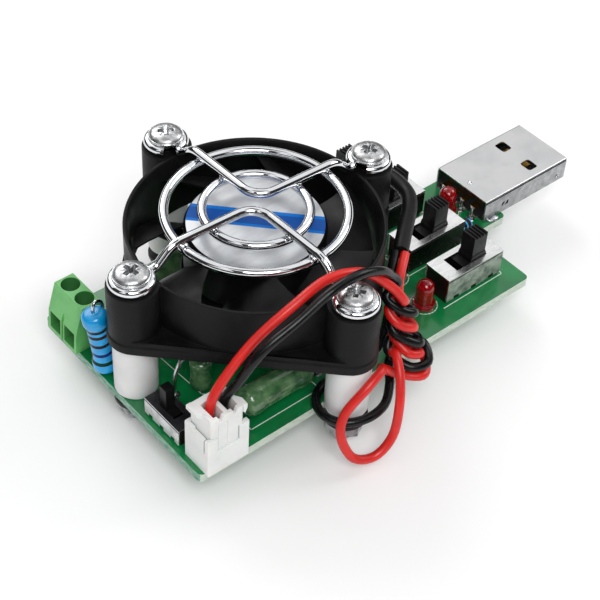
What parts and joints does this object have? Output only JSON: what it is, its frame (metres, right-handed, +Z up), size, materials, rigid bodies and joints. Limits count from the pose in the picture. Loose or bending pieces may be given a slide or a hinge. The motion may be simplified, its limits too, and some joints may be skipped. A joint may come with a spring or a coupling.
{
  "type": "usb load tester",
  "caption": "Small circuit board with a USB plug, slide switches that choose the load current, load resistors, lamps, a screw terminal and a guarded cooling fan on spacers.",
  "frame": {"origin": "on the fan's axis, in the plane of the four bolt ends that the tester rests on", "axes": "+X along the board to the USB plug, +Y to the edge with the screw terminal, +Z up"},
  "size_m": [0.094, 0.058, 0.0331],
  "materials": {
    "board": "green solder mask, glossy",
    "solder": "bright tin",
    "plated_steel": "nickel plated sheet",
    "plug_black": "moulded black",
    "gold": "gold flash",
    "switch_black": "moulded black",
    "knob_black": "moulded black, satin",
    "red_lens": "clear red epoxy",
    "terminal_green": "moulded light green",
    "socket_white": "moulded natural white",
    "resistor_green": "green ceramic coat",
    "resistor_blue": "blue lacquer",
    "tinned_wire": "tinned copper",
    "fan_black": "moulded black, fine satin",
    "rotor_black": "moulded black",
    "magnet_grey": "bonded ferrite",
    "steel": "ground",
    "bronze": "sintered bronze",
    "stator_steel": "laminated, wound",
    "label_silver": "silver foil with a blue stripe",
    "guard_wire": "bright nickel plate",
    "screw_steel": "bright nickel plate",
    "spacer_white": "white nylon, satin",
    "washer_black": "black nylon",
    "sleeve_black": "shrink sleeve",
    "wire_red": "soft insulation, satin",
    "wire_black": "soft insulation, satin"
  },
  "bodies": {
    "tester": {"circuit_board": "board", "solder_joints": "solder", "usb_shell": "plated_steel", "usb_insulator": "plug_black", "usb_contacts": "gold", "fan_switch_base": "switch_black", "fan_switch_shell": "plated_steel", "switch_pins": "tinned_wire", "component_leads": "tinned_wire", "terminal_housing": "terminal_green", "terminal_pins": "tinned_wire", "fan_socket": "socket_white", "socket_pins": "tinned_wire", "fan_plug": "socket_white", "plug_contacts": "tinned_wire", "sense_resistor": "resistor_blue", "lamp_resistor": "resistor_blue", "load_resistor_1": "resistor_green", "load_resistor_2": "resistor_green", "load_resistor_3": "resistor_green", "load_resistor_4": "resistor_green", "fan_frame": "fan_black", "fan_bearing": "bronze", "fan_stator": "stator_steel", "fan_circuit": "board", "motor_leads": "wire_red", "finger_guard": "guard_wire", "fan_screws": "screw_steel", "fan_spacers": "spacer_white", "fan_washers": "washer_black", "fan_nuts": "screw_steel", "wire_sleeve": "sleeve_black", "fan_wire_red": "wire_red", "fan_wire_black": "wire_black", "switch_1_base": "switch_black", "switch_1_shell": "plated_steel", "lamp_1": "red_lens", "switch_2_base": "switch_black", "switch_2_shell": "plated_steel", "lamp_2": "red_lens", "switch_3_base": "switch_black", "switch_3_shell": "plated_steel", "lamp_3": "red_lens", "switch_4_base": "switch_black", "switch_4_shell": "plated_steel", "lamp_4": "red_lens", "power_lamp": "red_lens"},
    "rotor": {"fan_rotor": "rotor_black", "fan_magnet": "magnet_grey", "fan_shaft": "steel", "fan_label": "label_silver"},
    "slider_1": {"switch_1_slider": "knob_black"},
    "slider_2": {"switch_2_slider": "knob_black"},
    "slider_3": {"switch_3_slider": "knob_black"},
    "slider_4": {"switch_4_slider": "knob_black"},
    "fan_slider": {"fan_switch_slider": "knob_black"},
    "screw_1": {"terminal_screw_1": "screw_steel"},
    "screw_2": {"terminal_screw_2": "screw_steel"},
    "clamp_1": {"terminal_clamp_1": "plated_steel"},
    "clamp_2": {"terminal_clamp_2": "plated_steel"}
  },
  "joints": [
    {"name": "fan_spin", "type": "hinge", "parent": "tester", "child": "rotor", "pos_m": [0, 0, 0.022], "axis": [0, 0, 1], "continuous": true},
    {"name": "current_switch_1", "type": "slide", "parent": "tester", "child": "slider_1", "axis": [1, 0, 0], "range_m": [-0.003, 0]},
    {"name": "current_switch_2", "type": "slide", "parent": "tester", "child": "slider_2", "axis": [1, 0, 0], "range_m": [-0.003, 0]},
    {"name": "current_switch_3", "type": "slide", "parent": "tester", "child": "slider_3", "axis": [1, 0, 0], "range_m": [-0.003, 0]},
    {"name": "current_switch_4", "type": "slide", "parent": "tester", "child": "slider_4", "axis": [1, 0, 0], "range_m": [0, 0.003]},
    {"name": "fan_voltage_switch", "type": "slide", "parent": "tester", "child": "fan_slider", "axis": [0, 1, 0], "range_m": [-0.002, 0]},
    {"name": "terminal_screw_1", "type": "hinge", "parent": "tester", "child": "screw_1", "pos_m": [-0.0231, 0.01631, 0.0118], "axis": [0, 0, -1], "range_deg": [0, 900]},
    {"name": "terminal_clamp_1", "type": "slide", "parent": "tester", "child": "clamp_1", "axis": [0, 0, 1], "range_m": [0, 0.001]},
    {"name": "terminal_screw_2", "type": "hinge", "parent": "tester", "child": "screw_2", "pos_m": [-0.0231, 0.01249, 0.0118], "axis": [0, 0, -1], "range_deg": [0, 900]},
    {"name": "terminal_clamp_2", "type": "slide", "parent": "tester", "child": "clamp_2", "axis": [0, 0, 1], "range_m": [0, 0.001]}
  ],
  "couplings": [
    {"joint": "terminal_screw_1", "follows": "terminal_clamp_1", "rad_per_m": 15707},
    {"joint": "terminal_screw_2", "follows": "terminal_clamp_2", "rad_per_m": 15707}
  ]
}
